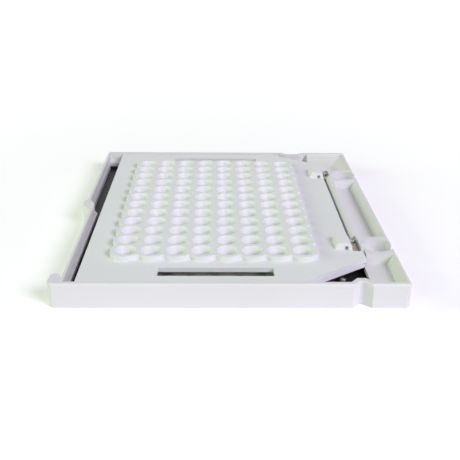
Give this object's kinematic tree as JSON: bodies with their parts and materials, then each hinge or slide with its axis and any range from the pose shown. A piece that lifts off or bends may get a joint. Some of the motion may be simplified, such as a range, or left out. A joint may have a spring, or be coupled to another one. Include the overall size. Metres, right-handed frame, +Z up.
{
  "type": "thermal cycler well cassette",
  "caption": "Slim hinged well cassette of a thermal cycler: white carrier frame, lid with a scalloped field of conical wells, heated metal block below, locating cups and grooves",
  "frame": {"origin": "centre of the underside, on the surface it rests on", "axes": "+X across the eight columns towards the hinge, +Y along the twelve rows, +Z up"},
  "size_m": [0.1202, 0.1462, 0.0109],
  "materials": {
    "frame_plastic": "fine moulded white plastic",
    "lid_plastic": "fine moulded white plastic",
    "liner_plastic": "smooth moulded white plastic",
    "tray_plastic": "black filled plastic",
    "plate_metal": "brushed sheet",
    "block_metal": "bead blasted",
    "heater_silicone": "matt silicone rubber",
    "sensor_steel": "drawn tube",
    "cutout_ceramic": "matt resin",
    "lead_film": "amber polyimide film",
    "board_green": "green solder mask",
    "pad_gold": "gold plated",
    "screw_steel": "turned stainless",
    "magnet_nickel": "nickel plated",
    "leaf_bronze": "dull pressed bronze",
    "pin_steel": "ground"
  },
  "bodies": {
    "cassette": {"carrier_frame": "frame_plastic", "insulator_tray": "tray_plastic", "base_plate": "plate_metal", "heater_mat": "heater_silicone", "well_block": "block_metal", "temperature_sensor": "sensor_steel", "thermal_cutout": "cutout_ceramic", "heater_lead": "lead_film", "contact_board": "board_green", "contact_pads": "pad_gold", "frame_magnets": "magnet_nickel", "front_hinge_leaf": "leaf_bronze", "rear_hinge_leaf": "leaf_bronze", "leaf_screws": "screw_steel", "tray_screws": "screw_steel", "block_screws": "screw_steel", "base_screws": "screw_steel"},
    "lid": {"lid_plate": "lid_plastic", "lid_liner": "liner_plastic", "liner_screws": "screw_steel", "lid_magnets": "magnet_nickel", "front_hinge_pin": "pin_steel", "rear_hinge_pin": "pin_steel"}
  },
  "joints": [
    {"name": "lid_hinge", "type": "hinge", "parent": "cassette", "child": "lid", "pos_m": [0.0429, 0, 0.0088], "axis": [0, 1, 0], "range_deg": [0, 90]}
  ]
}
